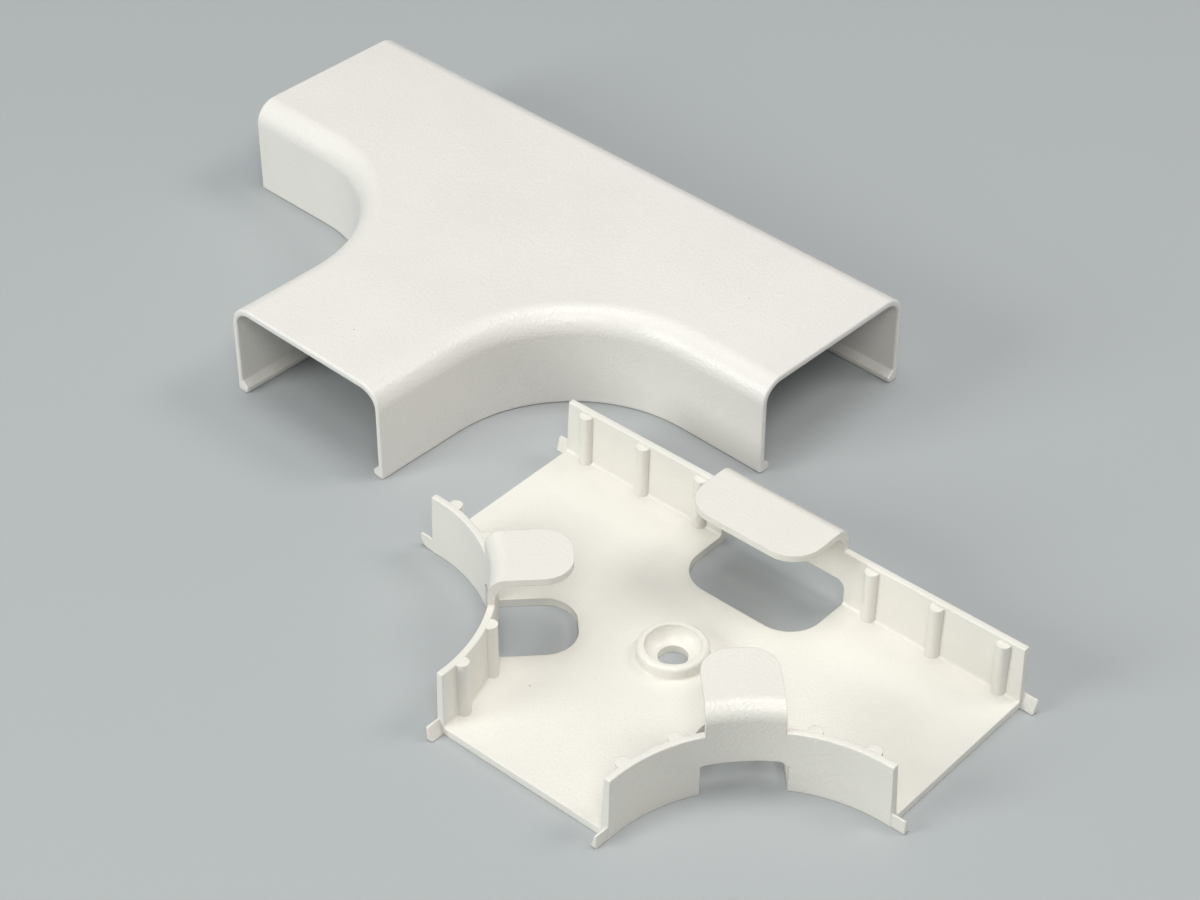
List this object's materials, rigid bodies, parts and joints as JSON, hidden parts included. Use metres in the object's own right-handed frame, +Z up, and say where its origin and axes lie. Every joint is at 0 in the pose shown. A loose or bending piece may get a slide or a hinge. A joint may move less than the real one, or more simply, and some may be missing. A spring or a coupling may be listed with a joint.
{
  "type": "cable duct tee fitting",
  "caption": "Tee fitting for a surface cable duct: a moulded tray with cable tabs and a screw boss, and the rounded press-on cover lying beside it.",
  "frame": {"origin": "on the floor, at the bottom centre of the box round both pieces", "axes": "+X along the base's straight run, +Y towards its straight back wall, away from its branch, +Z up, out of the wall it is fixed to"},
  "size_m": [0.2094, 0.1338, 0.0202],
  "materials": {
    "base_plastic": "satin ivory-white moulded plastic",
    "cover_plastic": "satin ivory-white moulded plastic"
  },
  "bodies": {
    "root": {"base": "base_plastic", "cover": "cover_plastic"}
  },
  "joints": []
}
